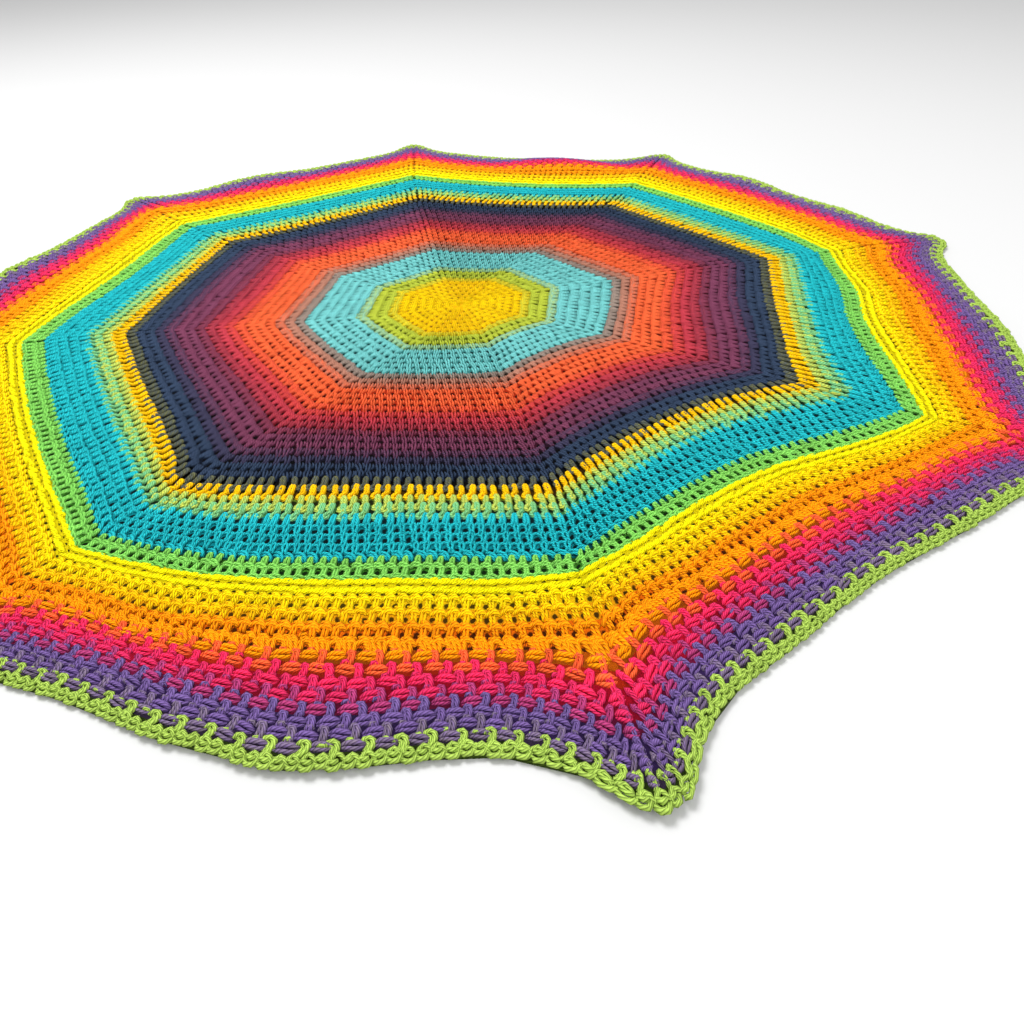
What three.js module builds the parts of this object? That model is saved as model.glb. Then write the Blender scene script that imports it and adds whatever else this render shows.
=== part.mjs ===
// A star-shaped crochet afghan, worked in rounds from its middle out, lying spread on a flat surface.
// It is one piece of yarn fabric, so it is one thin solid: eight corner points, sides that dip or swell
// between them, and low folds where the cloth lifts off the surface. Millimetres, +Z up; the origin is
// on the surface, under the middle of the outline.
import * as THREE from "three";

// The cloth's own sizes. A reach is the distance from the middle to a corner of one round.
const THICKNESS = 4;
const ROUND_REACH = 9.76; // what one round of the field adds to the reach
const FIELD_ROUNDS = 34; // rounds up to the gold one
const FIELD_REACH = ROUND_REACH * FIELD_ROUNDS;
const BORDER_REACH = 1.6 * FIELD_REACH; // reach of the last round, without its points
const SIDES = 8;
const FIRST_CORNER = -112.5; // degrees, the front left corner of an octagon that stands on a side

// The corners drift round as the rounds grow, and the middle lies a little in front of the outline's.
const DRIFT_TURN = -11.5; // degrees
const DRIFT_REACH = 0.3 * FIELD_REACH;
const MIDDLE_SHIFT = -0.032 * FIELD_REACH;
const MIDDLE_SHIFT_REACH = 0.95 * FIELD_REACH;

// Each corner is drawn out to a point in the border rounds.
const POINT_LENGTH = 0.085 * FIELD_REACH;
const POINT_WIDTH = 0.075 * FIELD_REACH;
const POINT_ROUNDNESS = 0.04 * FIELD_REACH;
const POINT_START = 1.25 * FIELD_REACH;
const POINT_POWER = 1.5;

// How far each corner is pulled out (1 is even) and swung round (degrees), in the field and at the edge.
const CORNERS = [
  { name: "front left", fieldPull: 1.02, edgePull: 1.0, fieldSwing: 0, edgeSwing: -0.5 },
  { name: "front right", fieldPull: 0.95, edgePull: 1.0, fieldSwing: 1.5, edgeSwing: 0 },
  { name: "right front", fieldPull: 1.0, edgePull: 1.01, fieldSwing: 1, edgeSwing: -0.5 },
  { name: "right back", fieldPull: 1.02, edgePull: 0.97, fieldSwing: 1.5, edgeSwing: 0 },
  { name: "back right", fieldPull: 0.98, edgePull: 0.98, fieldSwing: -1, edgeSwing: 2.7 },
  { name: "back left", fieldPull: 0.99, edgePull: 1.04, fieldSwing: 0, edgeSwing: -2 },
  { name: "left back", fieldPull: 1.02, edgePull: 1.04, fieldSwing: 0, edgeSwing: -3.7 },
  { name: "left front", fieldPull: 0.98, edgePull: 1.0, fieldSwing: -3.5, edgeSwing: -2 },
];

// How far the middle of each side dips in, as a share of the reach. Less than nothing swells out.
const DIPS = [
  { side: "front", field: -0.015, edge: -0.045 },
  { side: "front right", field: 0.042, edge: 0.01 },
  { side: "right", field: 0.015, edge: -0.02 },
  { side: "back right", field: 0.01, edge: -0.035 },
  { side: "back", field: 0.035, edge: 0.057 },
  { side: "back left", field: 0.015, edge: 0 },
  { side: "left", field: -0.012, edge: -0.03 },
  { side: "front left", field: 0.012, edge: -0.03 },
];

// The folds: where each lies (degrees and mm from the middle), how far it lifts the cloth and pushes it
// outwards, and its half-widths round the afghan and outwards.
const FOLDS = [
  { name: "back hump", angle: 73, at: 440, lift: 9, push: 0, round: 110, outwards: 44 },
  { name: "back left wave", angle: 126, at: 520, lift: 5, push: 0, round: 90, outwards: 70 },
  { name: "right back wave", angle: 41, at: 520, lift: 6, push: 0, round: 80, outwards: 70 },
  { name: "right back ripple", angle: 24, at: 525, lift: 5, push: -4, round: 70, outwards: 60 },
  { name: "right wave", angle: -14, at: 515, lift: 5, push: 0, round: 100, outwards: 70 },
  { name: "left wave", angle: 170, at: 520, lift: 5, push: 4, round: 100, outwards: 70 },
  { name: "left front ripple", angle: -146, at: 520, lift: 4, push: -4, round: 90, outwards: 60 },
  { name: "front swell", angle: -99.5, at: 525, lift: 2, push: 15.5, round: 128, outwards: 120 },
  { name: "front right swell", angle: -79, at: 545, lift: 3, push: 8, round: 68, outwards: 90 },
];

// The mesh: the reaches of its rings, closer together in the border, and its steps along each side.
const RINGS = [70, 140, 210, 270, 320, 360, 390, 415, 435, 455, 475, 495, 513, BORDER_REACH];
const SIDE_STEPS = 12;

const mix = (a, b, t) => a + (b - a) * t;
const smooth = (t) => t * t * (3 - 2 * t);
const radians = THREE.MathUtils.degToRad;
const borderShare = (reach) => THREE.MathUtils.clamp((reach - FIELD_REACH) / (BORDER_REACH - FIELD_REACH), 0, 1);

// The corner of the round of that reach, before its point is drawn out.
function cornerAt(index, reach) {
  const corner = CORNERS[index % SIDES];
  const share = borderShare(reach);
  const turn = DRIFT_TURN * (1 - Math.exp(-reach / DRIFT_REACH));
  const swing = mix(corner.fieldSwing, corner.edgeSwing, share);
  const angle = radians(FIRST_CORNER + (360 / SIDES) * index + turn + swing);
  const pulled = reach * mix(corner.fieldPull, corner.edgePull, share);
  return new THREE.Vector2(pulled * Math.cos(angle), pulled * Math.sin(angle));
}

// The place on the cloth's underside at a share of the way along one side of the round of that reach.
function placeOnCloth(side, along, reach) {
  const start = cornerAt(side, reach);
  const end = cornerAt(side + 1, reach);
  const edge = end.clone().sub(start);
  const outwards = new THREE.Vector2(edge.y, -edge.x).normalize();
  const dip = reach * mix(DIPS[side].field, DIPS[side].edge, borderShare(reach)) * 4 * along * (1 - along);
  const place = start.clone().lerp(end, along).addScaledVector(outwards, -dip);

  const drawn = Math.max(0, (reach - POINT_START) / (BORDER_REACH - POINT_START)) ** POINT_POWER;
  const fade = (distance) =>
    POINT_LENGTH *
    drawn *
    Math.exp(-(Math.hypot(distance, POINT_ROUNDNESS) - POINT_ROUNDNESS) / POINT_WIDTH);
  place.addScaledVector(start.clone().normalize(), fade(along * edge.length()));
  place.addScaledVector(end.clone().normalize(), fade((1 - along) * edge.length()));
  place.y += MIDDLE_SHIFT * (1 - smooth(Math.min(1, reach / MIDDLE_SHIFT_REACH)));
  return foldCloth(place);
}

// Lifts and pushes a place by the folds that reach it.
function foldCloth(place) {
  const folded = new THREE.Vector3(place.x, place.y, 0);
  for (const fold of FOLDS) {
    const direction = new THREE.Vector2(Math.cos(radians(fold.angle)), Math.sin(radians(fold.angle)));
    const outwards = place.dot(direction) - fold.at;
    const round = direction.cross(place);
    const from = (outwards / fold.outwards) ** 2 + (round / fold.round) ** 2;
    const strength = Math.max(0, 1 - from) ** 2;
    folded.x += direction.x * fold.push * strength;
    folded.y += direction.y * fold.push * strength;
    folded.z += fold.lift * strength;
  }
  return folded;
}

// Steps along a side, closer together near its corners, where the points are.
function sideStep(step) {
  return (1 - Math.cos((Math.PI * step) / SIDE_STEPS)) / 2;
}

// The afghan as one closed sheet: an upper face, an under face and the rim between them.
function makeAfghan() {
  const around = SIDES * SIDE_STEPS;
  const perFace = 1 + RINGS.length * around;
  const positions = [];
  for (const height of [0, THICKNESS]) {
    positions.push(0, MIDDLE_SHIFT, height);
    for (const reach of RINGS) {
      for (let step = 0; step < around; step++) {
        const place = placeOnCloth(Math.floor(step / SIDE_STEPS), sideStep(step % SIDE_STEPS), reach);
        positions.push(place.x, place.y, place.z + height);
      }
    }
  }
  const vertex = (face, ring, step) => face * perFace + 1 + ring * around + (step % around);
  const faces = [];
  const quad = (a, b, c, d) => faces.push(a, b, c, a, c, d);
  for (let step = 0; step < around; step++) {
    faces.push(0, vertex(0, 0, step + 1), vertex(0, 0, step));
    faces.push(perFace, vertex(1, 0, step), vertex(1, 0, step + 1));
    for (let ring = 1; ring < RINGS.length; ring++) {
      const inner = ring - 1;
      quad(vertex(0, inner, step), vertex(0, inner, step + 1), vertex(0, ring, step + 1), vertex(0, ring, step));
      quad(vertex(1, inner, step), vertex(1, ring, step), vertex(1, ring, step + 1), vertex(1, inner, step + 1));
    }
    const rim = RINGS.length - 1;
    quad(vertex(0, rim, step), vertex(0, rim, step + 1), vertex(1, rim, step + 1), vertex(1, rim, step));
  }
  const geometry = new THREE.BufferGeometry();
  geometry.setAttribute("position", new THREE.Float32BufferAttribute(positions, 3));
  geometry.setIndex(faces);
  geometry.computeBoundingBox();
  const middle = geometry.boundingBox.getCenter(new THREE.Vector3());
  geometry.translate(-middle.x, -middle.y, 0);
  geometry.computeVertexNormals();
  return geometry;
}

const yarn = new THREE.MeshStandardMaterial({ color: 0x9a5a86, roughness: 0.95, metalness: 0 });
const afghan = new THREE.Mesh(makeAfghan(), yarn);
afghan.name = "afghan";

const part = new THREE.Group();
part.add(afghan);

export default part;
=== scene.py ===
"""A star-shaped crochet afghan lying spread on a pale floor.

It is worked in rounds from its middle out, in one run of yarn that changes colour as it goes. The ground
cloth carries the folds, and on it lie the stitches, each kind modelled once from its strands of yarn and
laid stitch by stitch along the eight sides of every round."""

import math
from collections import namedtuple

import bpy
import numpy as np
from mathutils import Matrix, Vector


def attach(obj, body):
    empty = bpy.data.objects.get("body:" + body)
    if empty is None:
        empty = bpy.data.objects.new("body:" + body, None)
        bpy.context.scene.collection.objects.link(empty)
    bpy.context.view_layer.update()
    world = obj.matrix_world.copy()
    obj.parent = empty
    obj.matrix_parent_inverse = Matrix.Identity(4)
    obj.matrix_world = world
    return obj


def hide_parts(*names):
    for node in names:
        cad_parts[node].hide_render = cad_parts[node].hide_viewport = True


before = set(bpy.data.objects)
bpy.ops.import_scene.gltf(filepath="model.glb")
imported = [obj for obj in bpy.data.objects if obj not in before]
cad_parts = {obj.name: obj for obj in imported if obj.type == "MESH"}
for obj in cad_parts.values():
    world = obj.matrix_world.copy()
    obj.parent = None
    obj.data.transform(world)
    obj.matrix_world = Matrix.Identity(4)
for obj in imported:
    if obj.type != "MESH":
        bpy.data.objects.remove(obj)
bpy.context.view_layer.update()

MM = 0.001
# What the small chances start from.
SEED = 8

# ---------------------------------------------------------------- the cloth's shape, as the solid has it
# Sizes of the cloth in mm, and angles in degrees. A reach is the distance from the middle to a corner of one
# round. The rounds turn by DRIFT_TURN as they grow, most of it within DRIFT_REACH, and the corners of the
# last ones are drawn out to points.
FIELD_ROUNDS = 34
ROUND_REACH = 9.76
FIELD_REACH = ROUND_REACH * FIELD_ROUNDS
BORDER_REACH = 1.6 * FIELD_REACH
SIDES = 8
FIRST_CORNER = -112.5
DRIFT_TURN = -11.5
DRIFT_REACH = 0.3 * FIELD_REACH
POINT_LENGTH = 0.123 * FIELD_REACH
POINT_WIDTH = 0.039 * FIELD_REACH
POINT_ROUNDNESS = 0.031 * FIELD_REACH
POINT_START = 1.25 * FIELD_REACH
POINT_POWER = 1.5
# How far the very tips are blunted, and how wide (mm).
TIP_CUT = 18.8
TIP_WIDTH = 10.0
# The nearest that anything comes to the middle (mm).
INNERMOST = 0.3
# Steps along each side of the rim when the cloth's area is worked out.
RIM_STEPS = 12

# How far each corner is pulled out (1 is even) and swung round (degrees), in the field and at the edge.
Corner = namedtuple("Corner", "name field_pull edge_pull field_swing edge_swing")
CORNERS = [
    Corner("front left", 1.02, 1.00, 0.0, -0.5),
    Corner("front right", 0.95, 1.008, 1.5, 0.0),
    Corner("right front", 1.00, 1.01, 1.0, -0.5),
    Corner("right back", 1.02, 0.97, 1.5, 0.0),
    Corner("back right", 0.98, 0.98, -1.0, 2.7),
    Corner("back left", 0.99, 1.04, 0.0, -2.0),
    Corner("left back", 1.02, 1.04, 0.0, -3.7),
    Corner("left front", 0.98, 1.00, -3.5, -2.0),
]

# How far the rounds lie from their even place, by their reach: drawn in, to the right and to the front
# (mm).
Drift = namedtuple("Drift", "reach inwards right front")
DRIFTS = [
    Drift(0, 0, -1, 17),
    Drift(80, 9, -1, 17),
    Drift(215, 9.5, 0, 13.5),
    Drift(330, 7.5, -1, 9.5),
    Drift(370, 3, -1, 4.5),
    Drift(420, 5, -3, 5.5),
    Drift(455, -3.5, -2, -2),
    Drift(BORDER_REACH, 0, 0, 0),
]

# How far the middle of each side dips in, as a share of the reach. Less than nothing swells out.
Dip = namedtuple("Dip", "side field edge")
DIPS = [
    Dip("front", -0.015, -0.045),
    Dip("front right", 0.048, 0.010),
    Dip("right", 0.005, -0.020),
    Dip("back right", -0.004, -0.035),
    Dip("back", 0.035, 0.057),
    Dip("back left", 0.015, 0.000),
    Dip("left", 0.002, -0.030),
    Dip("front left", -0.014, -0.030),
]

# The folds: place (degrees and mm), how far each lifts the cloth and pushes it outwards, and half-widths.
Fold = namedtuple("Fold", "name angle at lift push round outwards")
FOLDS = [
    Fold("back hump", 73, 440, 9, 0, 110, 44),
    Fold("back left wave", 126, 520, 5, 0, 90, 70),
    Fold("right back wave", 41, 520, 6, 0, 80, 70),
    Fold("right back ripple", 24, 525, 5, -4, 70, 60),
    Fold("right wave", -14, 515, 5, 0, 100, 70),
    Fold("left wave", 170, 520, 5, 4, 100, 70),
    Fold("left front ripple", -146, 520, 4, -4, 90, 60),
    Fold("front swell", -99.5, 525, 2, 15.5, 128, 120),
    Fold("front right swell", -79, 545, 3, 8, 68, 90),
]
# Small creases that only the yarn shows.
CREASES = [
    Fold("right back crease", 14, 250, 2.2, 0, 14, 75),
    Fold("left back crease", 147, 300, 2.6, -5, 16, 70),
    Fold("front left crease", -125, 330, 1.2, 5, 14, 30),
]
# Where the rounds lie slack or drawn in, which only the yarn shows.
SLACK_PLACES = [
    Fold("front left slack", -112, 390, 0, 10, 150, 115),
    Fold("front left corner slack", -123, 320, 0, 5, 90, 90),
    Fold("right front slack", -38, 385, 0, 17, 130, 100),
    Fold("right front inner slack", -27, 262, 0, 6, 110, 70),
    Fold("right back draw", 9, 425, 0, -10, 110, 80),
    Fold("right draw", -12, 395, 0, -5, 70, 60),
    Fold("right back inner slack", 20, 225, 0, 8, 120, 130),
    Fold("right inner slack", -10, 142, 0, 6, 90, 55),
    Fold("left inner slack", 168, 265, 0, 7, 150, 60),
    Fold("left back slack", 147, 485, 0, 14, 90, 55),
    Fold("left draw", 165, 385, 0, -8, 140, 50),
    Fold("left front inner slack", -163, 170, 0, 6, 110, 150),
    Fold("near corner draw", -78, 440, 0, -8, 65, 65),
    Fold("front left lattice slack", -111, 446, 0, 4.5, 60, 35),
    Fold("front draw", -90, 515, 0, -3.3, 75, 60),
    Fold("front left draw", -103, 520, 0, -3, 30, 60),
    Fold("front right draw", -58, 505, 0, -5.5, 90, 50),
]


def mix(start, end, share):
    """What lies at a share of the way from a start to an end."""
    return start + (end - start) * share


def share_of_border(reach):
    """How far out in the border a reach lies: 0 in the field and 1 at the rim."""
    return np.clip((reach - FIELD_REACH) / (BORDER_REACH - FIELD_REACH), 0, 1)


def from_table(table, rows):
    """The numbers in some rows of a table, column by column, without the rows' names."""
    return np.moveaxis(np.array([row[1:] for row in table], float)[rows], -1, 0)


def corner_at(index, reach):
    """The x and y of one corner of the rounds of these reaches, before its point is drawn out."""
    field_pull, edge_pull, field_swing, edge_swing = from_table(CORNERS, index % SIDES)
    share = share_of_border(reach)
    turn = DRIFT_TURN * (1 - np.exp(-reach / DRIFT_REACH))
    swing = mix(field_swing, edge_swing, share)
    angle = np.radians(FIRST_CORNER + 360 / SIDES * index + turn + swing)
    pulled = reach * mix(field_pull, edge_pull, share)
    return np.stack([pulled * np.cos(angle), pulled * np.sin(angle)], -1)


def unit(vectors):
    """The same vectors, each of length 1."""
    return vectors / np.maximum(np.linalg.norm(vectors, axis=-1, keepdims=True), 1e-9)


def fold_cloth(place, folds):
    """Lifts and pushes flat places by the folds that reach them."""
    folded = np.concatenate([place, np.zeros_like(place[..., :1])], -1)
    for fold in folds:
        angle = math.radians(fold.angle)
        direction = np.array([math.cos(angle), math.sin(angle)])
        outwards = place @ direction - fold.at
        round_it = direction[0] * place[..., 1] - direction[1] * place[..., 0]
        away = (outwards / fold.outwards) ** 2 + (round_it / fold.round) ** 2
        strength = np.maximum(0, 1 - away) ** 2
        folded[..., :2] += direction * (fold.push * strength)[..., None]
        folded[..., 2] += fold.lift * strength
    return folded


def lay_on_cloth(side, along, reach, folds=FOLDS + CREASES + SLACK_PLACES):
    """Places on the cloth's underside, in mm: a share of the way along one side of the round of a reach."""
    side, along, reach = np.broadcast_arrays(side, along, reach)
    reaches, *drifts = np.array(DRIFTS, float).T
    inwards, right, front = (np.interp(reach, reaches, drift) for drift in drifts)
    reach = np.maximum(reach - inwards, INNERMOST)
    start, end = corner_at(side, reach), corner_at(side + 1, reach)
    edge = end - start
    length = np.linalg.norm(edge, axis=-1)
    outwards = unit(np.stack([edge[..., 1], -edge[..., 0]], -1))
    field_dip, edge_dip = from_table(DIPS, side % SIDES)
    dip = reach * mix(field_dip, edge_dip, share_of_border(reach)) * 4 * along * (1 - along)
    place = start + edge * along[..., None] - outwards * dip[..., None]
    drawn = np.maximum(0, (reach - POINT_START) / (BORDER_REACH - POINT_START)) ** POINT_POWER
    for corner, distance in ((start, along * length), (end, (1 - along) * length)):
        from_point = np.hypot(distance, POINT_ROUNDNESS) - POINT_ROUNDNESS
        point = POINT_LENGTH * np.exp(-from_point / POINT_WIDTH)
        fade = drawn * (point - TIP_CUT * np.exp(-((distance / TIP_WIDTH) ** 2)))
        place = place + unit(corner) * fade[..., None]
    return fold_cloth(place + np.stack([right, -front], -1), folds)


# Where the middle of the outline's box lies from the star's own middle (mm). The frame's origin is under it.
OUTLINE_MIDDLE = np.array([-9.52, 8.456, 0.0])


def to_frame(places):
    """Places on the cloth in mm, as metres in the frame."""
    return (places - OUTLINE_MIDDLE) * MM


# ---------------------------------------------------------------- the rounds
# Colours of the yarn, as sRGB numbers from 0 to 255.
YARN = {
    "sun": (255, 212, 2),
    "lime": (194, 208, 66),
    "aqua": (124, 212, 210),
    "stone": (160, 142, 130),
    "dull orange": (194, 134, 112),
    "orange": (255, 109, 61),
    "vermilion": (236, 80, 62),
    "crimson": (204, 65, 79),
    "wine": (148, 56, 74),
    "plum": (130, 66, 95),
    "indigo": (67, 64, 91),
    "navy": (55, 71, 97),
    "olive": (114, 112, 52),
    "gold": (255, 198, 4),
    "yellow green": (217, 208, 66),
    "leaf": (146, 202, 110),
    "mint": (100, 194, 150),
    "teal": (33, 190, 199),
    "green": (136, 214, 95),
    "yellow": (255, 240, 0),
    "amber": (255, 198, 0),
    "tangerine": (253, 153, 2),
    "coral": (250, 99, 52),
    "pink": (246, 46, 96),
    "rose": (226, 46, 98),
    "mulberry": (178, 62, 118),
    "violet": (116, 91, 151),
    "dusk": (132, 120, 122),
    "edge lime": (170, 201, 88),
}

# The rounds from the middle out. A band is some rounds alike: the reach that each adds (mm), the two colours
# plied in its yarn, its gaps and its layers. A layer is a kind of stitch, how many more of them than the
# round's number stand along a side (or just how many, where fixed), and where the first of them stands, in
# stitches.
MIDDLE_HOLE = 3.5
Layer = namedtuple("Layer", "kind more fixed start", defaults=[0, None, 0.65])
Band = namedtuple("Band", "piece rounds reach colour ply gaps layers")
# Between the stitches: the ground's height (mm), how bright it is painted, as painted shade from the
# stitches, and how bright its holes are painted, as painted shade inside them. The holes are half a stitch
# from the first layer's stitches: how far out (mm), half their height (mm), and half their width as a share
# of a stitch.
# Where these are left out, the holes are too small to show.
Gaps = namedtuple("Gaps", "height shade hole_shade out tall wide", defaults=[0.0, 0.01, 0.2])
SUNNY = Gaps(3.5, 0.8, 0.25, 7.2, 1.6, 0.16)
BRIGHT = Gaps(3.0, 0.5, 0.06, 7.2, 2.3, 0.22)
CLOSE = Gaps(2.9, 0.5, 0.03, 7.2, 2.4, 0.23)
OPEN = Gaps(2.0, 0.06, 0.04)
LEAFY = Gaps(3.0, 0.5, 0.03, 4.6, 3.0, 0.27)
LINKED = Gaps(3.2, 0.7, 0.02, 5.1, 2.7, 0.24)
NETTED = Gaps(3.2, 0.85, 0.06, 7.2, 1.8, 0.2)
WOVEN = Gaps(3.4, 0.6, 0.6)
HEMMED = Gaps(3.0, 0.15, 0.15)
LOOPS = [Layer("loop", start=0.06)]
LINKS = [Layer("link", start=0.75)]
POSTS = [Layer("post")]
ROPE = [Layer("rope", fixed=45, start=0.32)]
BARS = [Layer("bar", more=-27, start=0.4)]
LATTICE = [Layer("braid", fixed=45, start=0.47), Layer("struts", fixed=45, start=0.47)]
BANDS = [
    Band("stitches_middle", 7, ROUND_REACH, "sun", "sun", SUNNY, LOOPS),
    Band("stitches_middle", 1, ROUND_REACH, "sun", "lime", SUNNY, LOOPS),
    Band("stitches_middle", 2, ROUND_REACH, "lime", "lime", BRIGHT, LOOPS),
    Band("stitches_middle", 1, ROUND_REACH, "lime", "aqua", BRIGHT, LOOPS),
    Band("stitches_middle", 5, ROUND_REACH, "aqua", "aqua", BRIGHT, LOOPS),
    Band("stitches_sunset", 1, ROUND_REACH, "stone", "stone", CLOSE, LOOPS),
    Band("stitches_sunset", 1, ROUND_REACH, "dull orange", "dull orange", CLOSE, LOOPS),
    Band("stitches_sunset", 1, ROUND_REACH, "dull orange", "orange", CLOSE, LOOPS),
    Band("stitches_sunset", 3, ROUND_REACH, "orange", "orange", CLOSE, LOOPS),
    Band("stitches_sunset", 1, ROUND_REACH, "vermilion", "orange", CLOSE, LOOPS),
    Band("stitches_sunset", 1, ROUND_REACH, "vermilion", "crimson", CLOSE, LOOPS),
    Band("stitches_sunset", 1, ROUND_REACH, "crimson", "crimson", CLOSE, LOOPS),
    Band("stitches_sunset", 1, ROUND_REACH, "crimson", "wine", CLOSE, LOOPS),
    Band("stitches_sunset", 1, ROUND_REACH, "wine", "plum", CLOSE, LOOPS),
    Band("stitches_sunset", 2, ROUND_REACH, "plum", "plum", CLOSE, LOOPS),
    Band("stitches_sunset", 1, ROUND_REACH, "plum", "indigo", CLOSE, LOOPS),
    Band("stitches_sunset", 1, ROUND_REACH, "indigo", "indigo", CLOSE, LOOPS),
    Band("stitches_sunset", 2, ROUND_REACH, "navy", "navy", CLOSE, LOOPS),
    Band("stitches_posts", 1, ROUND_REACH, "navy", "olive", OPEN, POSTS),
    Band("stitches_posts", 1, 11.6, "gold", "gold", OPEN, POSTS),
    Band("stitches_posts", 1, 8.1, "yellow green", "leaf", LEAFY, POSTS),
    Band("stitches_posts", 1, 10.0, "leaf", "mint", LEAFY, POSTS),
    Band("stitches_teal", 1, 9.2, "teal", "teal", LEAFY, [Layer("column", start=0.75)]),
    Band("stitches_teal", 2, 8.7, "teal", "teal", LINKED, LINKS),
    Band("stitches_teal", 1, 5.9, "teal", "teal", LINKED._replace(tall=1.6), LINKS),
    Band("stitches_teal", 1, 8.0, "teal", "teal", Gaps(2.4, 0.3, 0.3), [Layer("slanted chain", start=0.1)]),
    Band("stitches_green", 1, 6.0, "green", "green", Gaps(2.0, 0.25, 0.25), [Layer("tooth", start=0.6)]),
    Band("stitches_green", 1, 8.5, "green", "green", Gaps(2.2, 0.5, 0.03, 4.2, 2.2, 0.24),
         [Layer("arch", start=0.6)]),
    Band("ropes_yellow", 1, 6.5, "yellow", "yellow", Gaps(3.1, 0.8, 0.03, 6.3, 0.9, 0.19), ROPE),
    Band("ropes_yellow", 1, 7.5, "yellow", "yellow", Gaps(3.1, 0.8, 0.03, 6.6, 1.0, 0.2), ROPE),
    Band("lattice_amber", 1, 9.4, "amber", "yellow", NETTED, LATTICE),
    Band("lattice_amber", 1, 9.6, "amber", "amber", NETTED, LATTICE),
    Band("lattice_amber", 1, 9.5, "tangerine", "tangerine", NETTED, LATTICE),
    Band("lattice_amber", 1, 7.3, "tangerine", "tangerine", Gaps(2.5, 0.6, 0.04, 7.4, 2.4, 0.13),
         [Layer("fork", fixed=24, start=0.6), Layer("braid", fixed=45, start=0.47)]),
    Band("basket_pink", 1, 7.6, "tangerine", "tangerine", WOVEN, BARS),
    Band("basket_pink", 1, 7.4, "coral", "coral", WOVEN, BARS),
    Band("basket_pink", 1, 6.8, "pink", "pink", WOVEN, BARS),
    Band("basket_pink", 1, 6.6, "rose", "rose", WOVEN, BARS),
    Band("basket_violet", 1, 6.6, "mulberry", "mulberry", WOVEN, BARS),
    Band("basket_violet", 1, 6.2, "violet", "violet", WOVEN, BARS),
    Band("basket_violet", 1, 6.0, "violet", "violet", WOVEN, BARS),
    Band("basket_violet", 1, 6.0, "violet", "dusk", WOVEN, BARS),
    Band("edge_lime", 1, 4.0, "edge lime", "edge lime", HEMMED,
         [Layer("hook", more=-27, start=0.4), Layer("edge loop", fixed=60, start=0.5)]),
    Band("edge_lime", 1, 4.0, "edge lime", "edge lime", HEMMED,
         [Layer("edge chain", fixed=60, start=0.5)]),
]
# The basket's first round, how near the corners its rounds take in their new cells, as a share of a side,
# and the steps in which that share is worked out.
BASKET_FIRST = 51
BASKET_TAKE_IN = 0.1
BASKET_STEPS = 401
# How nearly the stitches stand square to their round (1 is square), how much taller than drawn those of the
# basket and the edge may be where the rounds lie further apart, and the step along the round, in stitches,
# that tells which way it runs.
UPRIGHT = 0.8
TALLEST = 1.3
ROUND_STEP = 0.2
# Over what distance from the corners the stitches fan out instead (mm).
CORNER_FAN = 30.0
# How far the stitches from the green rounds to the forks stand away from the corners, and over what distance
# (mm).
CORNER_GAP = 1.6
CORNER_GAP_FADE = 9.0
CORNER_GAP_ROUNDS = range(43, 51)
# How far a stitch strays sideways, outwards and upwards (mm), turns (degrees) and grows, how much its tone
# varies, and within what length of yarn its own plies start (mm).
SLACK = [0.4, 0.4, 0.12]
TURN_SLACK = 5.0
SIZE_SLACK = 0.05
TONE = 0.05
YARN_LENGTH = 100
# The lowest and highest parts of the strands (mm), and how bright the lowest are (1 is full), because the
# stitches beside them shade them.
SHADED_HEIGHTS = [2.0, 4.4]
LOW_SHADE = 0.45
# The ground cloth's steps along a side, how far inside the rim it ends (mm), and how much deeper a colour is
# painted down between the stitches, as painted shade.
GROUND_STEPS = 12
GROUND_INSET = 1.5
GAP_DEPTH = 1.5
# The start and end, in the ground's map, of a row with no holes.
PLAIN_ROW = (9, 12)
# The width of the flat map (m).
FLAT_MAP = 1.25
Round = namedtuple("Round", "number band reach")


def count_rounds():
    """Every round with its number and the reach where it starts."""
    rounds, reach = [], MIDDLE_HOLE
    for band in BANDS:
        for _ in range(band.rounds):
            rounds.append(Round(len(rounds) + 1, band, reach))
            reach += band.reach
    return rounds


ROUNDS = count_rounds()


def linear(colour):
    """An sRGB colour from the table, as the linear numbers that a shader works in."""
    share = np.array(YARN[colour]) / 255
    return np.where(share <= 0.04045, share / 12.92, ((share + 0.055) / 1.055) ** 2.4)


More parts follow.
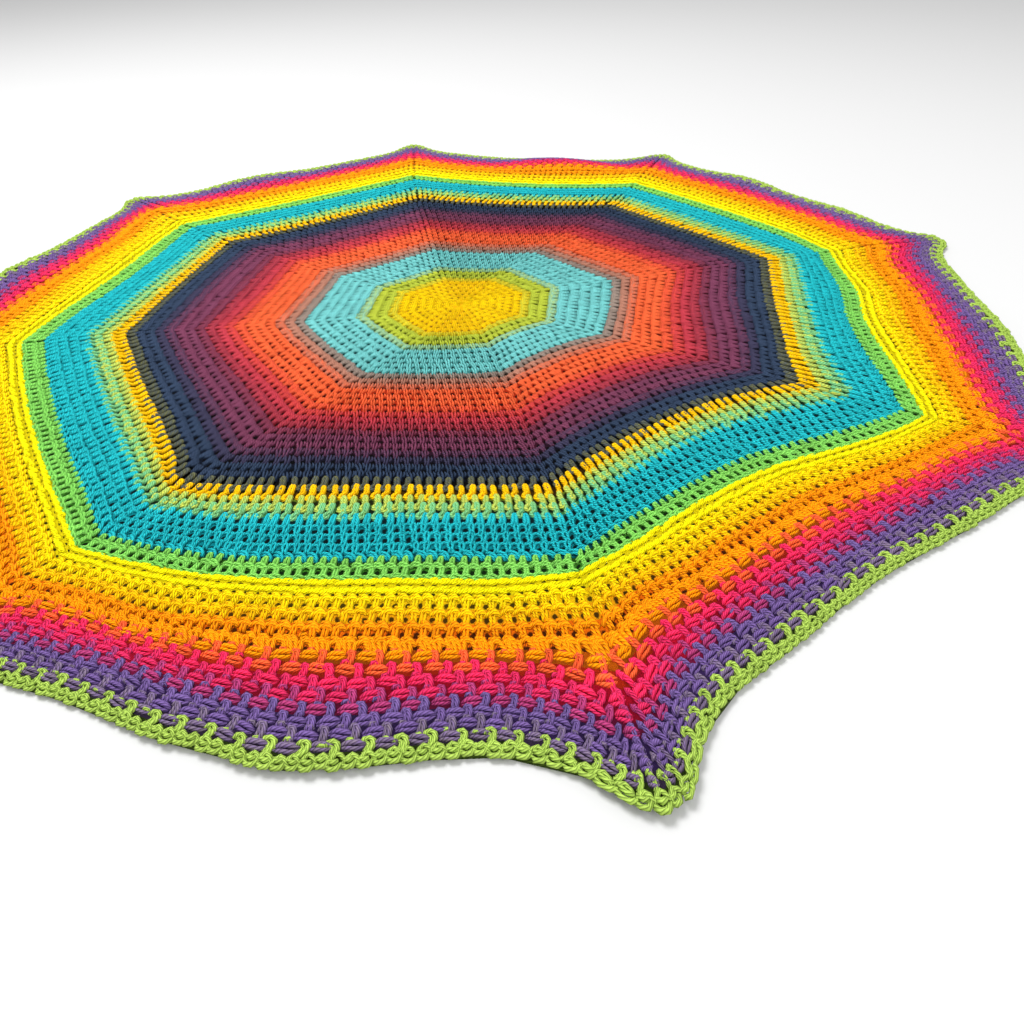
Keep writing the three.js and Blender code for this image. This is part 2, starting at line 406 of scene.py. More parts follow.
# ---------------------------------------------------------------- the stitches
# Each kind is drawn flat in mm: x along the side from the stitch's middle, y outwards from where its round
# starts, z up from the cloth's underside. A strand is one path of yarn. Most kinds are of one width (mm),
# and a basket cell is two stitches wide.
Strand = namedtuple("Strand", "half_thickness path sides", defaults=[4])
STITCH_WIDTH = 7.4
CELL_WIDTH = {"loop": 7.7, "fork": 14.8, "bar": 14.2, "hook": 12.6, "edge loop": 6.7, "edge chain": 6.7}
STITCHES = {
    "loop": [
        Strand(1.3, [(-3.2, -0.2, 2.8), (-2.6, 2.4, 3.4), (-1.3, 5.6, 3.3), (-1.1, 9.4, 2.6)], 3),
        Strand(1.35, [(-0.7, -0.7, 2.9), (0.4, 3.2, 3.6), (1.0, 9.8, 2.7)], 3),
        Strand(1.25, [(1.7, -0.5, 2.9), (2.9, 2.2, 3.4), (2.2, 4.8, 2.7)], 3),
    ],
    "column": [
        Strand(1.35, [(-1.3, 9.0, 2.6), (-1.1, 4.6, 3.3), (-1.3, 0.6, 3.5), (-0.8, -1.3, 3.7),
                      (0.5, -1.3, 3.7), (1.0, 0.6, 3.5), (1.1, 4.6, 3.3), (1.4, 9.0, 2.6)]),
    ],
    "link": [
        Strand(1.4, [(-1.9, 7.6, 2.7), (-1.0, 4.8, 3.3), (-2.1, 1.9, 3.6), (-1.4, -0.6, 3.9),
                     (0.3, -0.6, 3.9), (0.9, 1.9, 3.6), (0.4, 4.8, 3.3), (1.4, 7.6, 2.7)], 3),
        Strand(1.35, [(1.0, 1.9, 3.2), (2.2, 0.0, 4.0), (4.6, -0.2, 4.0), (5.9, 1.6, 3.2)], 3),
    ],
    "post": [
        Strand(1.4, [(-0.5, 6.8, 2.8), (-0.9, 2.8, 3.4), (-1.2, -0.5, 4.0), (-0.7, -1.5, 4.3),
                     (0.4, -1.4, 4.3), (0.9, -0.2, 4.0), (1.0, 3.0, 3.4), (1.4, 6.8, 2.8)]),
        Strand(1.5, [(1.4, 6.0, 2.8), (-0.4, 6.8, 3.6), (-1.9, 8.4, 3.5), (-2.1, 10.6, 3.4),
                     (-0.8, 12.1, 3.2), (0.6, 11.0, 3.0), (1.0, 8.4, 2.6)]),
    ],
    "slanted chain": [
        Strand(1.1, [(-4.6, 1.0, 2.6), (-2.2, 0.8, 3.4), (0.4, 2.2, 3.6), (2.4, 4.8, 3.3), (3.2, 7.6, 2.0)]),
        Strand(1.1, [(-4.2, 3.4, 2.4), (-1.8, 3.4, 3.2), (0.2, 5.0, 3.2), (1.4, 7.6, 2.0)]),
    ],
    "tooth": [
        Strand(1.2, [(-1.2, 3.6, 2.6), (-1.3, -0.6, 3.5), (-0.7, -2.2, 3.7), (0.6, -2.2, 3.7),
                     (1.2, 3.6, 2.6)]),
        Strand(1.2, [(-4.6, 4.8, 2.6), (-2.2, 3.2, 3.6), (0.2, 3.6, 3.7), (2.4, 5.6, 3.4), (4.2, 5.6, 2.6)]),
        Strand(1.15, [(-4.4, 7.4, 2.4), (-2.0, 5.6, 3.4), (0.4, 6.2, 3.5), (2.6, 7.8, 3.0)]),
    ],
    "arch": [
        Strand(1.1, [(-0.9, 0.2, 3.0), (-0.8, 4.0, 3.3), (-1.0, 7.0, 3.0)]),
        Strand(1.1, [(0.9, 0.2, 3.0), (0.9, 4.0, 3.3), (1.2, 7.0, 3.0)]),
        Strand(1.15, [(-4.6, 6.8, 2.6), (-2.2, 7.8, 3.5), (0.2, 6.6, 3.7), (2.4, 7.2, 3.5),
                      (4.4, 8.4, 2.6)]),
        Strand(1.15, [(-4.2, 10.0, 2.4), (-1.8, 8.9, 3.3), (0.8, 9.4, 3.4), (3.2, 10.8, 2.4)]),
    ],
    "rope": [
        Strand(1.5, [(-5.6, 3.9, 2.8), (-1.6, 3.7, 3.5), (1.6, 2.3, 3.6), (5.4, 1.9, 2.8)]),
        Strand(1.3, [(-3.7, 2.0, 2.9), (0.0, 4.1, 3.3), (3.7, 4.2, 2.9)]),
    ],
    "braid": [
        Strand(1.4, [(-4.4, 4.0, 2.8), (-2.0, 2.3, 3.7), (0.4, 1.6, 3.8), (2.4, 3.2, 3.1)]),
        Strand(1.4, [(-2.6, -0.6, 2.9), (0.2, -0.3, 3.7), (2.2, 1.5, 3.6), (4.2, 4.2, 2.8)]),
    ],
    "struts": [
        Strand(1.35, [(-1.1, 3.2, 3.2), (-0.9, 6.6, 3.6), (-1.2, 9.6, 2.9)], 3),
        Strand(1.35, [(0.9, 3.4, 3.2), (0.8, 6.6, 3.5), (1.0, 9.6, 2.9)], 3),
    ],
    "fork": [
        Strand(1.4, [(-7.0, 0.6, 2.8), (-5.6, 3.6, 3.5), (-3.4, 7.4, 3.5), (-2.4, 10.0, 2.8)]),
        Strand(1.4, [(-3.6, 0.4, 2.8), (-2.2, 3.4, 3.6), (-0.4, 7.2, 3.6), (0.4, 10.0, 2.8)]),
        Strand(1.4, [(-0.4, 0.4, 2.8), (0.9, 3.4, 3.5), (2.2, 7.0, 3.5), (2.8, 10.0, 2.8)]),
        Strand(1.4, [(3.0, 1.0, 2.8), (4.3, 3.6, 3.5), (4.5, 6.8, 3.4), (4.0, 9.8, 2.8)]),
    ],
    "bar": [
        Strand(1.4, [(-5.2, 3.0, 2.4), (-2.4, 1.7, 3.8), (2.2, 1.8, 3.9), (5.2, 2.6, 2.4)]),
        Strand(1.4, [(-5.0, 4.4, 2.4), (-1.8, 4.5, 3.7), (1.4, 4.9, 3.7), (4.9, 4.0, 2.4)], 3),
        Strand(1.3, [(-2.6, -5.0, 2.8), (-1.2, -6.8, 3.9), (0.8, -6.2, 4.0), (1.3, -3.4, 3.8),
                     (0.6, 0.6, 3.2)]),
        Strand(1.3, [(-0.9, -5.6, 3.4), (-0.8, -2.6, 3.6), (-1.3, 1.2, 3.2)], 3),
        Strand(1.4, [(5.6, -6.2, 2.8), (6.6, -7.2, 3.9), (8.1, -7.2, 3.9), (9.1, -6.2, 2.8)], 3),
    ],
    "hook": [
        Strand(1.2, [(-3.0, -3.4, 2.8), (-1.9, -5.4, 3.8), (0.2, -5.9, 4.0), (1.7, -4.2, 4.0),
                     (1.6, -1.6, 3.8), (0.2, 0.6, 3.4), (-2.0, 2.0, 2.8)]),
        Strand(1.0, [(-1.0, -4.0, 3.0), (0.1, -2.4, 3.5), (-1.4, 0.6, 3.0)]),
        Strand(1.1, [(5.2, -4.6, 2.8), (5.9, -5.2, 3.9), (6.9, -5.2, 3.9), (7.6, -4.6, 2.8)]),
    ],
    "edge loop": [
        Strand(1.2, [(-4.2, 5.0, 2.6), (-2.0, 2.2, 3.3), (0.0, 0.8, 3.8), (2.0, 2.0, 3.6), (4.0, 5.0, 2.8)]),
    ],
    "edge chain": [
        Strand(1.45, [(-3.4, 1.2, 2.4), (-1.5, 3.0, 3.2), (1.3, 2.8, 3.4), (3.2, 0.6, 2.8)]),
        Strand(1.3, [(-2.6, -1.2, 3.2), (-0.4, 0.0, 3.9), (1.8, -0.8, 3.4)]),
    ],
}
# A tube of few sides looks thinner than the round strand that it stands for.
TUBE_FULLNESS = {3: 1.2, 4: 1.1}


def tube(strand, first_point):
    """A strand of yarn as a closed tube with few sides and an edge on top: its points, its faces, and for
    every face corner the length along the yarn and the share of the way round it. A cell's x, y and z are
    left-handed on the cloth, so the faces go round the other way here."""
    path, sides = np.array(strand.path, float), strand.sides
    steps = np.diff(path, axis=0)
    lengths = np.concatenate([[0], np.cumsum(np.linalg.norm(steps, axis=1))])
    ahead = unit(steps)
    forwards = unit(np.concatenate([ahead[:1], ahead[:-1] + ahead[1:], ahead[-1:]]))
    turns = math.pi / 2 + np.arange(sides) * 2 * math.pi / sides
    points, faces, corners = [], [], []
    for place, forward in zip(path, forwards):
        across = unit(np.cross(forward, [0, 0, 1.0]))
        up = np.cross(across, forward)
        ring = np.outer(np.cos(turns), across) + np.outer(np.sin(turns), up)
        points.append(place + strand.half_thickness * TUBE_FULLNESS[sides] * ring)
    for ring in range(len(path) - 1):
        start, end = lengths[ring], lengths[ring + 1]
        for step in range(sides):
            a = first_point + ring * sides + step
            b = first_point + ring * sides + (step + 1) % sides
            turned, next_turned = step / sides, (step + 1) / sides
            faces.append([a, a + sides, b + sides, b])
            corners.append([(start, turned), (end, turned), (end, next_turned), (start, next_turned)])
    for ring, order in ((0, range(sides)), (len(path) - 1, range(sides - 1, -1, -1))):
        faces.append([first_point + ring * sides + step for step in order])
        corners.append([(lengths[ring], step / sides) for step in order])
    return np.concatenate(points), faces, corners


def stitch_mesh(kind):
    """All the strands of one stitch together: points, the point at each face corner, how many corners each
    face has, and the map at each corner."""
    points, faces, corners = np.zeros((0, 3)), [], []
    for strand in STITCHES[kind]:
        more_points, more_faces, more_corners = tube(strand, len(points))
        points = np.concatenate([points, more_points])
        faces += more_faces
        corners += more_corners
    return points, np.concatenate(faces), np.array([len(face) for face in faces]), np.concatenate(corners)


def stray(points, count, dice):
    """A copy of a stitch's points for each stitch, each turned, grown and moved a little by chance."""
    turn = np.radians(dice.normal(0, TURN_SLACK, (count, 1)))
    size = 1 + dice.normal(0, SIZE_SLACK, (count, 1))
    x = (points[:, 0] * np.cos(turn) - points[:, 1] * np.sin(turn)) * size
    y = (points[:, 0] * np.sin(turn) + points[:, 1] * np.cos(turn)) * size
    z = np.broadcast_to(points[:, 2], x.shape)
    return np.stack([x, y, z], -1) + dice.normal(0, 1, (count, 1, 3)) * SLACK


def stitches_a_side(ring, layer):
    """How many stitches of a layer stand along one side of a round."""
    return layer.fixed or ring.number + layer.more


def share_of_side(ring, layer, stitch):
    """How far along its side, as a share, a stitch of this number stands. In the basket every cell lies over
    the gap between two cells of the round before, all along the side, and the new ones come in near the
    corners."""
    a_side = stitches_a_side(ring, layer)
    if layer.kind not in ("bar", "hook"):
        return stitch / a_side
    share = np.linspace(0, 1, BASKET_STEPS)
    near, far = np.exp(-share / BASKET_TAKE_IN), np.exp(-(1 - share) / BASKET_TAKE_IN)
    rounds = ring.number - BASKET_FIRST
    stitches = (a_side - rounds) * share + rounds * (1 - near + far) / 2
    return np.interp(stitch, stitches * a_side / stitches[-1], share)


def side_length(ring):
    """How long a side of a round would be (mm), if its corners were even."""
    return 2 * math.sin(math.pi / SIDES) * ring.reach


def from_corners(ring, share):
    """How far stitches at this share of a side are moved away from its corners, as a share of the side."""
    if ring.number not in CORNER_GAP_ROUNDS:
        return 0
    length = side_length(ring)
    near, far = np.exp(-share * length / CORNER_GAP_FADE), np.exp(-(1 - share) * length / CORNER_GAP_FADE)
    return CORNER_GAP * (near - far) / length


def lay_stitch(ring, layer, stitch, out):
    """Places on the cloth, by the number of a stitch in its round, which may lie between two stitches, and
    by how far out they are from where the round starts."""
    a_side = stitches_a_side(ring, layer)
    stitch = stitch % (SIDES * a_side)
    side = np.minimum(np.floor(stitch / a_side).astype(int), SIDES - 1)
    return lay_on_cloth(side, share_of_side(ring, layer, stitch - side * a_side), ring.reach + out)


def stand_upright(ring, layer, stitch):
    """How a stitch stands square to its round: how far it goes sideways (in stitches) for each mm outwards,
    and how much taller than drawn it is where the rounds lie further apart. Near the corners of the rounds
    inside the basket the stitches fan out instead."""
    here = lay_stitch(ring, layer, stitch, 0)
    sideways = (lay_stitch(ring, layer, stitch + ROUND_STEP, 0) - here) / ROUND_STEP
    outwards = lay_stitch(ring, layer, stitch, 1) - here
    lean = UPRIGHT * (outwards * sideways).sum(-1) / (sideways ** 2).sum(-1)
    if ring.number < BASKET_FIRST:
        share = stitch / stitches_a_side(ring, layer) % 1
        from_corner = np.minimum(share, 1 - share) * side_length(ring)
        lean = lean * (1 - np.exp(-from_corner / CORNER_FAN))
        return lean, np.ones_like(lean)
    height = np.linalg.norm(outwards - lean[..., None] * sideways, axis=-1)
    return lean, np.clip(1 / height, 1, TALLEST)


# Stitches as they lie: points in mm, the point at each face corner, how many corners each face has, the map
# at each corner, and the two colours at each point, with painted shade low down on the strands.
Laid = namedtuple("Laid", "points faces sizes lengths colour ply")


def lay_layer(ring, layer, dice):
    """One kind of stitch all round one round."""
    points, faces, sizes, corners = stitch_mesh(layer.kind)
    a_side = stitches_a_side(ring, layer)
    count = SIDES * a_side
    drawn = stray(points, count, dice)
    middle = np.arange(count)[:, None] + layer.start
    middle = middle + from_corners(ring, middle / a_side % 1) * a_side
    lean, taller = stand_upright(ring, layer, middle)
    out = drawn[..., 1] * taller
    place = middle + drawn[..., 0] / CELL_WIDTH.get(layer.kind, STITCH_WIDTH) - lean * out
    laid = lay_stitch(ring, layer, place, out)
    laid[..., 2] += drawn[..., 2]
    tone = 1 + dice.normal(0, TONE, (count, 1, 1))
    # Painted shade: the strands' colours are darkened low down, where the stitches beside them would shade
    # them.
    tone = tone * np.interp(drawn[..., 2:], SHADED_HEIGHTS, [LOW_SHADE, 1])
    colour = linear(ring.band.colour) * tone
    ply = linear(ring.band.ply) * tone
    numbers = faces[None] + (np.arange(count) * len(points))[:, None]
    lengths = np.broadcast_to(corners, (count, *corners.shape)).copy()
    lengths[..., 0] += dice.random((count, 1)) * YARN_LENGTH
    return Laid(laid.reshape(-1, 3), numbers.ravel(), np.tile(sizes, count), lengths.reshape(-1, 2),
                colour.reshape(-1, 3), ply.reshape(-1, 3))


def new_mesh_piece(name, points, faces, sizes, lengths, colours):
    """A smooth piece from points in the frame, with a map along the yarn, a flat map and its colours, one to
    a point or one to a face corner."""
    mesh = bpy.data.meshes.new(name)
    mesh.vertices.add(len(points))
    mesh.vertices.foreach_set("co", points.ravel())
    mesh.loops.add(len(faces))
    mesh.loops.foreach_set("vertex_index", faces)
    mesh.polygons.add(len(sizes))
    mesh.polygons.foreach_set("loop_start", np.cumsum(sizes) - sizes)
    mesh.polygons.foreach_set("use_smooth", np.ones(len(sizes), bool))
    mesh.update(calc_edges=True)
    mesh.uv_layers.new(name="yarn").data.foreach_set("uv", np.asarray(lengths, float).ravel())
    flat = points[faces, :2] / FLAT_MAP + 0.5
    mesh.uv_layers.new(name="OFBake").data.foreach_set("uv", flat.ravel())
    for label, colour in colours.items():
        values = np.concatenate([colour, np.ones((len(colour), 1))], 1)
        place = "POINT" if len(colour) == len(points) else "CORNER"
        mesh.color_attributes.new(label, "FLOAT_COLOR", place).data.foreach_set("color", values.ravel())
    piece = bpy.data.objects.new(name, mesh)
    bpy.context.collection.objects.link(piece)
    return piece


def stitch_pieces():
    """The stitches, joined into one piece for each run of rounds that share a name."""
    dice = np.random.default_rng(SEED)
    runs = {}
    for ring in ROUNDS:
        for layer in ring.band.layers:
            runs.setdefault(ring.band.piece, []).append(lay_layer(ring, layer, dice))
    pieces = []
    for name, run in runs.items():
        starts = np.cumsum([0] + [len(laid.points) for laid in run[:-1]])
        faces = np.concatenate([laid.faces + start for laid, start in zip(run, starts)])
        whole = Laid(*(np.concatenate(parts) for parts in zip(*run)))
        colours = {"yarn colour with painted shade": whole.colour, "ply colour with painted shade": whole.ply}
        points = to_frame(whole.points)
        pieces.append(new_mesh_piece(name, points, faces, whole.sizes, whole.lengths, colours))
    return pieces


# ---------------------------------------------------------------- the ground cloth under the stitches
def ground_points():
    """The ground cloth's points in the frame, on top and then below: the middle one, and rings of them."""
    reaches = np.array([ring.reach for ring in ROUNDS[1:]] + [BORDER_REACH - GROUND_INSET])
    steps = np.arange(SIDES * GROUND_STEPS)
    side, along = steps // GROUND_STEPS, (steps % GROUND_STEPS) / GROUND_STEPS
    rings = lay_on_cloth(side[None], along[None], reaches[:, None]).reshape(-1, 3)
    middle = lay_on_cloth(np.arange(SIDES), 0.5, 1.0).mean(0)
    under = np.concatenate([[middle], rings])
    heights = np.array([ring.band.gaps.height for ring in ROUNDS])
    over = under.copy()
    over[:, 2] += np.concatenate([heights[:1], np.repeat(np.append(heights[1:], heights[-1]), len(steps))])
    return to_frame(np.concatenate([over, under]))


def ground_map(ring):
    """The ground's map at each step round the inner and the outer edge of a round: the stitches gone by, and
    the half-heights of a hole from the holes outwards."""
    layer, gaps = ring.band.layers[0], ring.band.gaps
    around = SIDES * GROUND_STEPS
    stitch = np.arange(around + 1) / around * SIDES * stitches_a_side(ring, layer)
    leaning = stitch + stand_upright(ring, layer, stitch)[0] * ring.band.reach
    near, far = -gaps.out / gaps.tall, (ring.band.reach - gaps.out) / gaps.tall
    return [np.stack([across - layer.start, np.full_like(across, row)], -1)
            for across, row in ((stitch, near), (leaning, far))]


def ground_colours(rounds, on_top):
    """The ground's colours at face corners, given the round of each and whether it is on top. There it is
    painted in shade from the stitches, and painted dark at the holes as the shade inside them."""
    plain = np.array([(linear(ring.band.colour) + linear(ring.band.ply)) / 2 for ring in ROUNDS])[rounds]
    shade, hole_shade, wide = (
        np.array([getattr(ring.band.gaps, label) for ring in ROUNDS])[rounds, None]
        for label in ("shade", "hole_shade", "wide")
    )
    # On top the ground is painted shade, deeper in colour than the yarn, and darker still as painted shade
    # in the holes.
    return {
        "yarn colour with painted shade": np.where(on_top, plain ** GAP_DEPTH * shade, plain),
        "hole colour with painted shade": np.where(on_top, plain ** GAP_DEPTH * hole_shade, plain),
        "hole width": np.repeat(wide, 3, 1),
    }


def ground_cloth():
    """A thin closed cloth under the stitches. Its top shows between them in painted shade, with a hole
    painted dark as shade at every stitch of the closer rounds, and its underside shows plain rows in the
    rounds' colours."""
    points = ground_points()
    around, half = SIDES * GROUND_STEPS, len(points) // 2
    row_start, row_end = PLAIN_ROW
    faces, corners, rounds, shown = [], [], [], []

    def add_face(face, places, ring, on_top):
        faces.append(face)
        corners.extend(places)
        rounds.extend([ring] * len(face))
        shown.extend([on_top] * len(face))

    maps = [ground_map(ring) for ring in ROUNDS[1:]]
    for step in range(around):
        after = (step + 1) % around
        add_face([0, 1 + step, 1 + after], [(0, row_start)] * 3, 0, True)
        add_face([half, half + 1 + after, half + 1 + step], [(0, row_start)] * 3, 0, False)
        for ring, (near, far) in enumerate(maps):
            inner, outer = 1 + ring * around, 1 + (ring + 1) * around
            face = [inner + step, outer + step, outer + after, inner + after]
            add_face(face, [near[step], far[step], far[step + 1], near[step + 1]], ring + 1, True)
            here, next_one = near[step, 0], near[step + 1, 0]
            row = [(next_one, row_start), (next_one, row_end), (here, row_end), (here, row_start)]
            add_face([half + number for number in reversed(face)], row, ring + 1, False)
        rim, rim_after = half - around + step, half - around + after
        row = [(0, row_start), (0, row_end), (1, row_end), (1, row_start)]
        add_face([rim, half + rim, half + rim_after, rim_after], row, len(ROUNDS) - 1, True)

    colours = ground_colours(np.array(rounds), np.array(shown)[:, None])
    sizes = np.array([len(face) for face in faces])
    return new_mesh_piece("ground_cloth", points, np.concatenate(faces), sizes, corners, colours)


def cloth_area():
    """The flat area of the cloth, in square metres."""
    steps = np.arange(SIDES * RIM_STEPS)
    rim = lay_on_cloth(steps // RIM_STEPS, (steps % RIM_STEPS) / RIM_STEPS, BORDER_REACH, []) * MM
    x, y = rim[:, 0], rim[:, 1]
    return float(abs(x @ np.roll(y, -1) - y @ np.roll(x, -1)) / 2)


# ---------------------------------------------------------------- yarn and cloth materials
# How many plies show round a strand, in what length they turn once (mm), how rounded they are (1 is a plain
# wave, less is blunter), and how high the fine fibres stand, as a share of a ply.
PLIES = 6.0
TURN = 14.0
PLY_POWER = 0.6
FUZZ = 0.5
# How deep the plies are in the stitches' strands and in the ground's (mm).
YARN_RELIEF = 0.4
GROUND_RELIEF = 0.8
# Painted shade and highlight: how dark the yarn's colour is painted in the grooves between its plies, and
# how light along their crests.
PLY_GROOVE_SHADE = 0.35
PLY_CREST_HIGHLIGHT = 1.15
# How much the yarn's two colours change place by patches, and how much by plies.
BY_PATCH = 0.8
BY_PLY = 0.12
# How ragged the holes painted dark as shade are, and where their edge starts and ends, in half-widths from
# their middle.
RAGGED = 1.6
HOLE_EDGE = (0.7, 1.35)
# How many lumps the noise of fibres, of patches and of ragged holes has to a metre.
FUZZ_SCALE = 900
PATCH_SCALE = 260
RAGGED_SCALE = 330


def maths(tree, operation, *values, clamp=False):
    """A step of sums in a node tree, from numbers or from what other nodes give."""
    node = tree.nodes.new("ShaderNodeMath")
    node.operation = operation
    node.use_clamp = clamp
    for socket, value in zip(node.inputs, values):
        if hasattr(value, "is_output"):
            tree.links.new(value, socket)
        else:
            socket.default_value = value
    return node.outputs[0]


def parted(tree, vector):
    """The x and y of a vector in a node tree."""
    node = tree.nodes.new("ShaderNodeSeparateXYZ")
    tree.links.new(vector, node.inputs[0])
    return node.outputs["X"], node.outputs["Y"]


def joined(tree, x, y):
    """A vector in a node tree from its x and y."""
    node = tree.nodes.new("ShaderNodeCombineXYZ")
    tree.links.new(x, node.inputs["X"])
    tree.links.new(y, node.inputs["Y"])
    return node.outputs["Vector"]


def noise(tree, scale):
    """Soft noise through a piece, from -0.5 to 0.5."""
    place = tree.nodes.new("ShaderNodeTexCoord")
    node = tree.nodes.new("ShaderNodeTexNoise")
    node.inputs["Scale"].default_value = scale
    tree.links.new(place.outputs["Object"], node.inputs["Vector"])
    return maths(tree, "SUBTRACT", node.outputs["Fac"], 0.5)


def plied_yarn_group():
    """Plies twisted round a strand, for a map that runs in mm along the yarn and once round it. Gives the
    height of the plies, and a patchy mask of every other ply."""
    group = bpy.data.node_groups.new("plied yarn", "ShaderNodeTree")
    group.interface.new_socket("Map", in_out="INPUT", socket_type="NodeSocketVector")
    for label, value in (("Plies", PLIES), ("Turn", TURN), ("Fuzz", FUZZ)):
        socket = group.interface.new_socket(label, in_out="INPUT", socket_type="NodeSocketFloat")
        socket.default_value = value
    for label in ("Height", "Second ply"):
        group.interface.new_socket(label, in_out="OUTPUT", socket_type="NodeSocketFloat")
    given, out = group.nodes.new("NodeGroupInput"), group.nodes.new("NodeGroupOutput")

    along, round_it = parted(group, given.outputs["Map"])
    turned = maths(group, "DIVIDE", along, given.outputs["Turn"])
    ply = maths(group, "MULTIPLY", maths(group, "ADD", turned, round_it), given.outputs["Plies"])
    wave = maths(group, "SINE", maths(group, "MULTIPLY", ply, math.pi))
    rounded = maths(group, "POWER", maths(group, "ABSOLUTE", wave), PLY_POWER)
    fuzz = maths(group, "MULTIPLY", noise(group, FUZZ_SCALE), given.outputs["Fuzz"])
    group.links.new(maths(group, "ADD", rounded, fuzz), out.inputs["Height"])
    patchy = maths(group, "MULTIPLY_ADD", noise(group, PATCH_SCALE), BY_PATCH, 0.5)
    second = maths(group, "MULTIPLY_ADD", wave, BY_PLY, patchy, clamp=True)
    group.links.new(second, out.inputs["Second ply"])
    return group


def cloth_material(name, roughness):
    """A new woolly material: itself, its node tree and its Principled node."""
    material = bpy.data.materials.new(name)
    material.use_nodes = True
    shader = material.node_tree.nodes["Principled BSDF"]
    shader.inputs["Roughness"].default_value = roughness
    shader.inputs["Specular IOR Level"].default_value = 0.1
    return material, material.node_tree, shader


def yarn_map(tree):
    """The map that a mesh carries for its yarn."""
    node = tree.nodes.new("ShaderNodeUVMap")
    node.uv_map = "yarn"
    return node.outputs["UV"]


def attribute(tree, name):
    """The colour that a mesh carries under a name."""
    node = tree.nodes.new("ShaderNodeAttribute")
    node.attribute_name = name
    return node.outputs["Color"]


def mixed(tree, factor, first, second):
    """Two colours mixed in a tree by a factor. The colour sockets are inputs 6 and 7 and output 2."""
    blend = tree.nodes.new("ShaderNodeMix")
    blend.data_type = "RGBA"
    tree.links.new(factor, blend.inputs["Factor"])
    tree.links.new(first, blend.inputs[6])
    tree.links.new(second, blend.inputs[7])
    return blend.outputs[2]


def plied(tree, plies, place):
    """The plied yarn group in a tree, at the places that a map gives."""
    node = tree.nodes.new("ShaderNodeGroup")
    node.node_tree = plies
    tree.links.new(place, node.inputs["Map"])
    return node.outputs


def spun(tree, shader, height, colour, depth):
    """Gives a shader a colour with painted shade in the grooves between the plies and a painted highlight
    along them, and their relief, of a depth in mm."""
    tone = tree.nodes.new("ShaderNodeMapRange")
    tone.inputs["To Min"].default_value = PLY_GROOVE_SHADE
    tone.inputs["To Max"].default_value = PLY_CREST_HIGHLIGHT
    tree.links.new(height, tone.inputs["Value"])
    toned = tree.nodes.new("ShaderNodeVectorMath")
    toned.operation = "SCALE"
    tree.links.new(colour, toned.inputs[0])
    tree.links.new(tone.outputs["Result"], toned.inputs["Scale"])
    tree.links.new(toned.outputs["Vector"], shader.inputs["Base Color"])
    bump = tree.nodes.new("ShaderNodeBump")
    bump.inputs["Strength"].default_value = 0.9
    bump.inputs["Distance"].default_value = depth * MM
    tree.links.new(height, bump.inputs["Height"])
    tree.links.new(bump.outputs["Normal"], shader.inputs["Normal"])


def yarn_material(plies):
    """Soft acrylic yarn in the colours that each stitch carries, plied of two where they differ."""
    material, tree, shader = cloth_material("soft yarn", 0.85)
    ply = plied(tree, plies, yarn_map(tree))
    colour = mixed(tree, ply["Second ply"], attribute(tree, "yarn colour with painted shade"), attribute(tree, "ply colour with painted shade"))
    spun(tree, shader, ply["Height"], colour, YARN_RELIEF)
    return material


def hole_mask(tree, across, outwards):
    """From 0 in the middle of the ragged hole beside a stitch to 1 away from it: it places the hole's
    painted shade.
    """
    from_middle = maths(tree, "SUBTRACT", maths(tree, "FRACT", across), 0.5)
    half_width, _ = parted(tree, attribute(tree, "hole width"))
    away = tree.nodes.new("ShaderNodeVectorMath")
    away.operation = "LENGTH"
    tree.links.new(joined(tree, maths(tree, "DIVIDE", from_middle, half_width), outwards), away.inputs[0])
    ragged = maths(tree, "MULTIPLY_ADD", noise(tree, RAGGED_SCALE), RAGGED, away.outputs["Value"])
    mask = tree.nodes.new("ShaderNodeMapRange")
    mask.interpolation_type = "SMOOTHSTEP"
    mask.inputs["From Min"].default_value, mask.inputs["From Max"].default_value = HOLE_EDGE
    tree.links.new(ragged, mask.inputs["Value"])
    return mask.outputs["Result"]


def ground_material(plies):
    """The cloth under the stitches, in painted shade: two steep strands to a stitch, with a soft hole
    painted dark as shade beside it. Its map counts the stitches across, and half-heights of the hole
    outwards."""
    material, tree, shader = cloth_material("ground cloth", 0.95)
    across, outwards = parted(tree, yarn_map(tree))
    ply = plied(tree, plies, joined(tree, outwards, maths(tree, "MULTIPLY", across, 2)))
    mask = hole_mask(tree, across, outwards)
    colour = mixed(tree, mask, attribute(tree, "hole colour with painted shade"), attribute(tree, "yarn colour with painted shade"))
    spun(tree, shader, ply["Height"], colour, GROUND_RELIEF)
    return material


# ---------------------------------------------------------------- the stage: camera, floor and lights
# The camera: where it stands and what it aims at, from the middle of the rounds (mm), its lens and the width
# of its sensor (mm), and how far it leans over (degrees).
CAMERA_EYE = Vector((41.4336, -733.4544, 332.2324))
CAMERA_AIM = Vector((41.4336, -334.1912, 0.0))
CAMERA_LENS = 27.22
CAMERA_SENSOR = 36
CAMERA_ROLL = -2.14
# The lamps: where each hangs, how wide it is (m) and its power (W).
Lamp = namedtuple("Lamp", "name place width power")
LAMPS = [
    Lamp("key light", (-0.9, 0.5, 2.4), 1.2, 67),
    Lamp("fill light", (1.2, -1.6, 1.8), 2.0, 27),
]
# How bright the light from all round is, how wide the floor is (m) and how pale (1 is white).
ROOM_LIGHT = 0.67
FLOOR_WIDTH = 8
FLOOR_TONE = 0.62


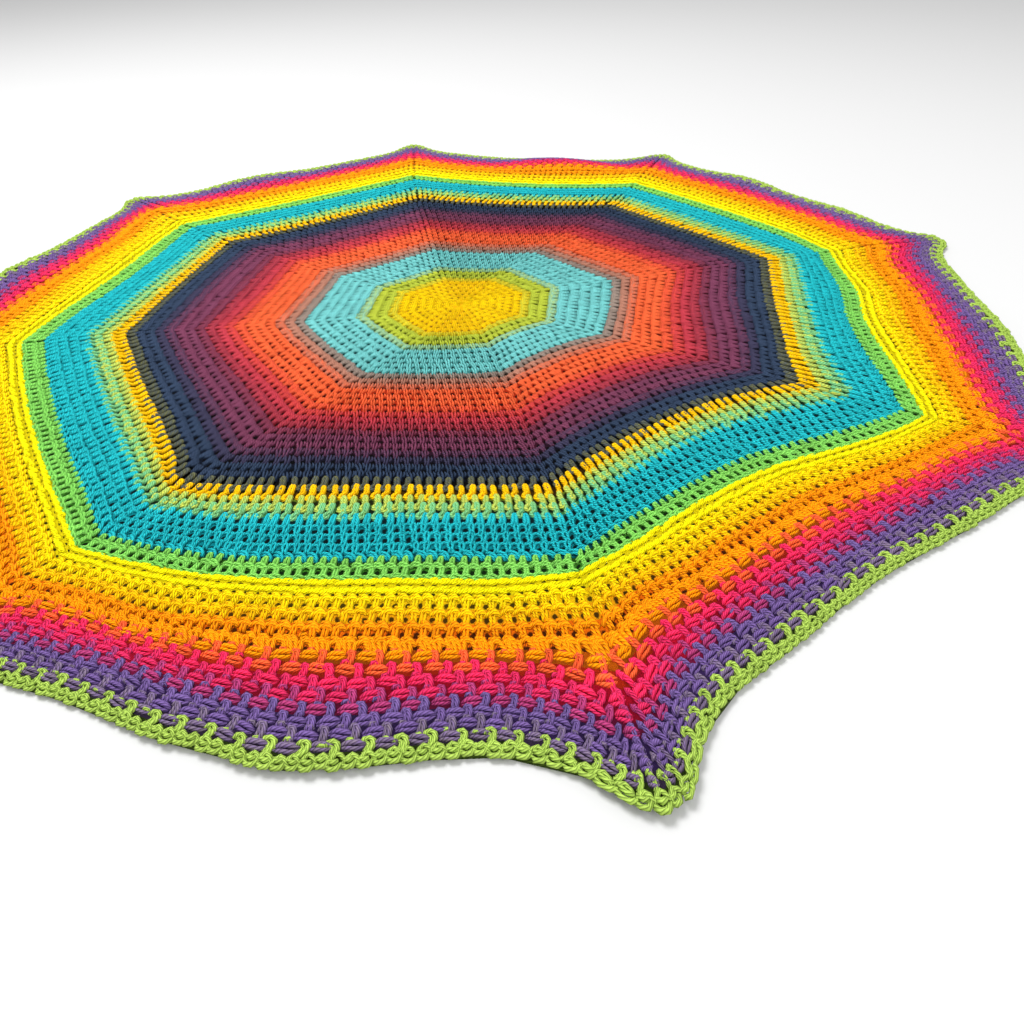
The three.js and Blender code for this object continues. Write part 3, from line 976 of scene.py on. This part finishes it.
def camera():
    """The camera stands at the front and looks down onto the cloth."""
    middle = Vector(OUTLINE_MIDDLE)
    data = bpy.data.cameras.new("camera")
    data.lens = CAMERA_LENS
    data.sensor_width = CAMERA_SENSOR
    placed = bpy.data.objects.new("camera", data)
    bpy.context.collection.objects.link(placed)
    placed.location = (CAMERA_EYE - middle) * MM
    placed.rotation_euler = (CAMERA_AIM - CAMERA_EYE).to_track_quat("-Z", "Y").to_euler()
    placed.rotation_euler.rotate_axis("Z", math.radians(CAMERA_ROLL))
    bpy.context.scene.camera = placed


def soft_light(lamp):
    """A large square lamp, turned to the middle of the floor."""
    place = Vector(lamp.place)
    turned = (-place).to_track_quat("-Z", "Y").to_euler()
    bpy.ops.object.light_add(type="AREA", location=place, rotation=turned)
    hung = bpy.context.object
    hung.name = lamp.name
    hung.data.size = lamp.width
    hung.data.energy = lamp.power


def pale_floor():
    """The floor that the cloth lies on."""
    bpy.ops.mesh.primitive_plane_add(size=FLOOR_WIDTH, location=(0, 0, 0))
    floor = bpy.context.object
    floor.name = "floor"
    material = bpy.data.materials.new("pale floor")
    material.use_nodes = True
    shader = material.node_tree.nodes["Principled BSDF"]
    shader.inputs["Base Color"].default_value = (FLOOR_TONE, FLOOR_TONE, FLOOR_TONE, 1)
    shader.inputs["Roughness"].default_value = 0.9
    floor.data.materials.append(material)


def soft_room():
    """Even white light from all round."""
    world = bpy.data.worlds.new("soft room")
    bpy.context.scene.world = world
    world.use_nodes = True
    sky = world.node_tree.nodes["Background"]
    sky.inputs["Color"].default_value = (1, 1, 1, 1)
    sky.inputs["Strength"].default_value = ROOM_LIGHT
    bpy.context.scene.view_settings.view_transform = "Standard"


# ---------------------------------------------------------------- putting it together
bpy.ops.object.select_all(action="DESELECT")
ground = ground_cloth()
stitches = stitch_pieces()
plies = plied_yarn_group()
yarn = yarn_material(plies)
ground.data.materials.append(ground_material(plies))
for piece in stitches:
    piece.data.materials.append(yarn)
for piece in [ground, *stitches]:
    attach(piece, "root")
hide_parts("afghan")
cloth_area()

camera()
pale_floor()
for lamp in LAMPS:
    soft_light(lamp)
soft_room()
